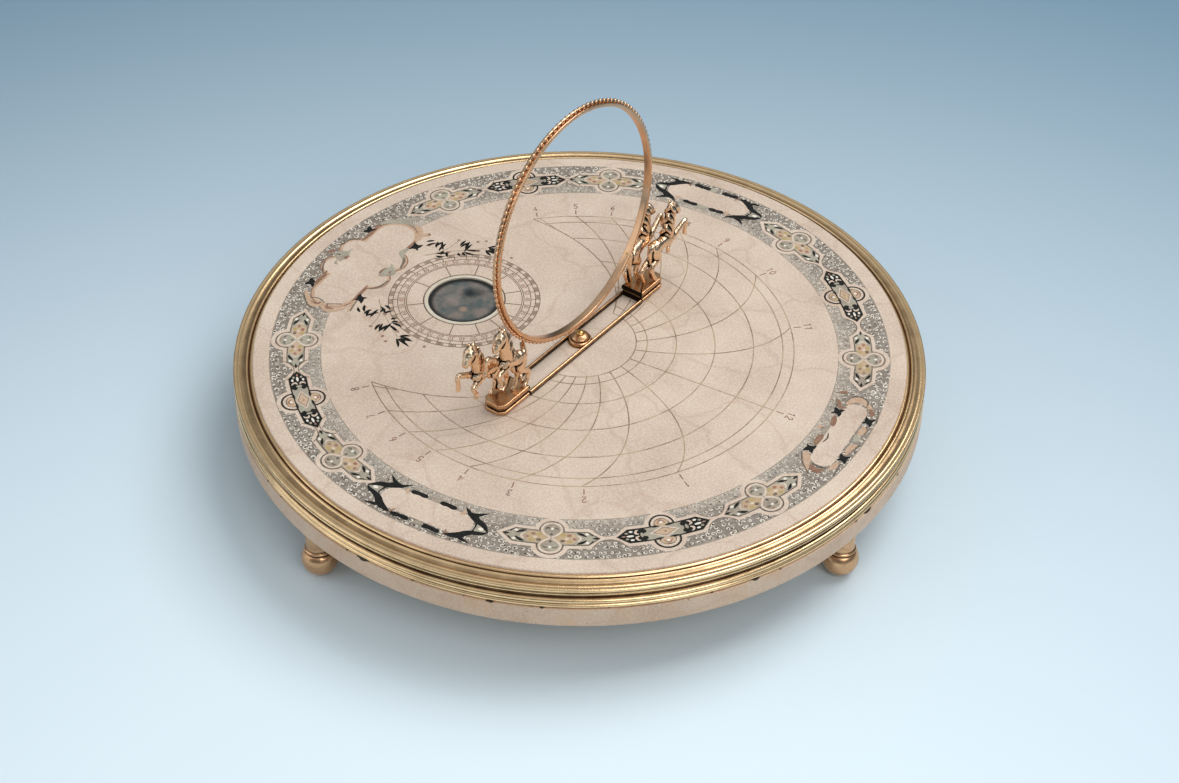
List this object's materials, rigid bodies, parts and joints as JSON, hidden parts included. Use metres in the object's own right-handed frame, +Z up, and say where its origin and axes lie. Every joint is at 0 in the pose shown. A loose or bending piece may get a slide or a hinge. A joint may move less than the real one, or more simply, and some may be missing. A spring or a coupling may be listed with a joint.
{
  "type": "azimuth sundial",
  "caption": "Round limestone azimuth sundial in a moulded gilt brass rim on ball feet, with a sunk compass and a turning rule that carries rearing horses and an upright shadow ring.",
  "frame": {"origin": "on the table surface under the centre of the dial", "axes": "+Z up; +X along the noon line from the dial's centre towards the 12 mark; the compass lies on -X"},
  "size_m": [0.3008, 0.3008, 0.1648],
  "materials": {
    "limestone": "honed, matt, with etched and painted ornament",
    "gilt_brass": "fire-gilt, worn, bright on the edges and brown in the hollows",
    "turned_brass": "lathe-turned, dull",
    "steel": "blued, worn",
    "glass": "old, slightly green",
    "card": "aged, matt",
    "mastic": "dark resin mastic"
  },
  "bodies": {
    "root": {"stone_slab": "limestone", "rim_hoop": "gilt_brass", "rim_bedding": "mastic", "foot_1": "gilt_brass", "foot_2": "gilt_brass", "foot_3": "gilt_brass", "foot_4": "gilt_brass", "foot_studs": "steel", "foot_sockets": "turned_brass", "centre_bush": "turned_brass", "compass_box": "turned_brass", "compass_bedding": "mastic", "compass_card": "card", "compass_pivot": "steel", "glass_seat": "turned_brass", "compass_glass": "glass", "compass_bezel": "gilt_brass"},
    "rule": {"rule_spindle": "turned_brass", "spindle_washer": "turned_brass", "spindle_nut": "turned_brass", "rule_boss": "gilt_brass", "rail_front": "gilt_brass", "rail_back": "gilt_brass", "plinth_a": "gilt_brass", "plinth_b": "gilt_brass", "horse_a_lead": "gilt_brass", "horse_a_trail": "gilt_brass", "horse_b_lead": "gilt_brass", "horse_b_trail": "gilt_brass", "horse_tangs": "turned_brass", "shadow_ring": "gilt_brass", "ring_beading": "gilt_brass", "ring_rivets": "turned_brass"},
    "needle": {"compass_needle": "steel", "needle_cap": "turned_brass"}
  },
  "joints": [
    {"name": "rule_turn", "type": "hinge", "parent": "root", "child": "rule", "pos_m": [0, 0, 0.0487], "axis": [0, 0, 1], "continuous": true},
    {"name": "needle_swing", "type": "hinge", "parent": "root", "child": "needle", "pos_m": [-0.0592, 0, 0.0434], "axis": [0, 0, 1], "continuous": true}
  ]
}
